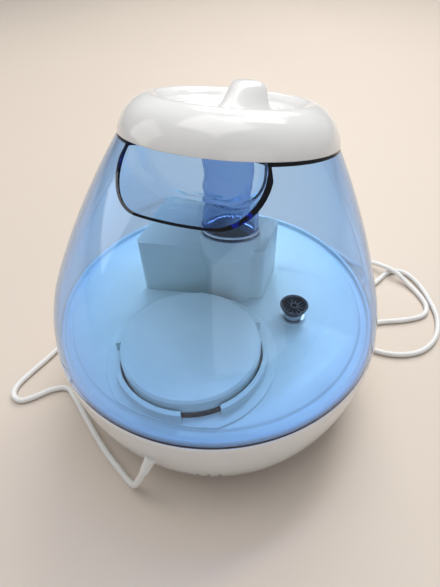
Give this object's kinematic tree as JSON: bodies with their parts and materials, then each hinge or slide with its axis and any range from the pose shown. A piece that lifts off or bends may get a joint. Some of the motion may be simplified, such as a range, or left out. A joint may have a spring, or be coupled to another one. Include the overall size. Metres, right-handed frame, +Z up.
{
  "type": "cool mist humidifier",
  "caption": "Free-standing cool mist humidifier: white bowl base, leaning clear blue drop-shaped lift-off water tank with fill cap and valve, and a slanted white cap with a turning mist nozzle.",
  "frame": {"origin": "on the surface it stands on, under the centre of the tank's bottom rim", "axes": "+Z up, -Y towards the front with the control knob, +Y towards the rear where the cord leaves, +X to the right when seen from the front"},
  "size_m": [0.3261, 0.3159, 0.2215],
  "materials": {
    "white_shell": "gloss",
    "floor_plastic": "satin",
    "clear_blue": "clear, tinted blue, gloss",
    "black_rubber": "satin",
    "foot_rubber": "matt",
    "screw_steel": "satin",
    "cast_aluminium": "cast, matt",
    "brass_disc": "satin",
    "board_green": "satin",
    "black_plastic": "satin",
    "lens_clear": "gloss",
    "cord_white": "satin",
    "knob_plastic": "gloss",
    "pin_chrome": "polished"
  },
  "bodies": {
    "base": {"base_shell": "white_shell", "knob_cup": "white_shell", "water_tray": "white_shell", "tray_wall": "white_shell", "tray_posts": "white_shell", "mist_well": "white_shell", "air_outlet": "white_shell", "float_post": "white_shell", "bottom_cover": "white_shell", "cover_bosses": "white_shell", "rubber_feet": "foot_rubber", "cover_screws": "screw_steel", "transducer_disc": "brass_disc", "transducer_seal": "black_rubber", "transducer_clamp": "cast_aluminium", "clamp_screws": "screw_steel", "drive_board": "board_green", "board_components": "black_plastic", "power_module": "black_plastic", "fan_housing": "black_plastic", "air_duct": "white_shell", "valve_lift_pin": "white_shell", "reed_switch": "clear_blue", "dial_potentiometer": "screw_steel", "indicator_lens": "lens_clear", "indicator_led": "lens_clear", "inner_wiring": "cord_white", "cord_grommet": "cord_white", "cord_lead": "cord_white", "cord_coil": "cord_white", "cord_tail": "cord_white", "cord_tie": "black_plastic", "power_plug": "cord_white", "plug_pins": "pin_chrome"},
    "tank": {"tank_shell": "clear_blue", "tank_floor": "floor_plastic", "fill_collar": "floor_plastic", "mist_chamber": "floor_plastic", "mist_tube": "clear_blue", "tube_gasket": "white_shell", "valve_seat": "screw_steel", "top_cap": "white_shell"},
    "filler": {"fill_cap": "floor_plastic", "fill_cap_gasket": "black_rubber"},
    "valve": {"valve_stem": "floor_plastic", "valve_cup": "black_rubber", "valve_spring": "screw_steel"},
    "mist_nozzle": {"nozzle": "white_shell"},
    "fan": {"fan_rotor": "black_plastic"},
    "knob": {"control_knob": "knob_plastic"},
    "float": {"float_ring": "white_shell", "float_magnet": "black_plastic"}
  },
  "joints": [
    {"name": "tank_lift", "type": "slide", "parent": "base", "child": "tank", "axis": [0, 0, 1], "range_m": [0, 0.12]},
    {"name": "filler_turn", "type": "hinge", "parent": "tank", "child": "filler", "pos_m": [-0.0034, 0.052, 0.08], "axis": [0, 0, 1], "range_deg": [0, 40]},
    {"name": "valve_lift", "type": "slide", "parent": "tank", "child": "valve", "axis": [0, 0, 1], "range_m": [0, 0.004], "stiffness_N_per_m": 60, "springref_m": -0.004, "deforming": ["valve_spring"]},
    {"name": "nozzle_turn", "type": "hinge", "parent": "tank", "child": "mist_nozzle", "pos_m": [0, 0, 0.0637], "axis": [0, -0.2672, 0.9636], "continuous": true},
    {"name": "fan_spin", "type": "hinge", "parent": "base", "child": "fan", "pos_m": [0.042, -0.024, 0.015], "axis": [0, 0, 1], "continuous": true},
    {"name": "knob_turn", "type": "hinge", "parent": "base", "child": "knob", "pos_m": [0, -0.104, 0.032], "axis": [0, -1, 0], "range_deg": [0, 270]},
    {"name": "float_rise", "type": "slide", "parent": "base", "child": "float", "axis": [0, 0, 1], "range_m": [0, 0.005]}
  ]
}
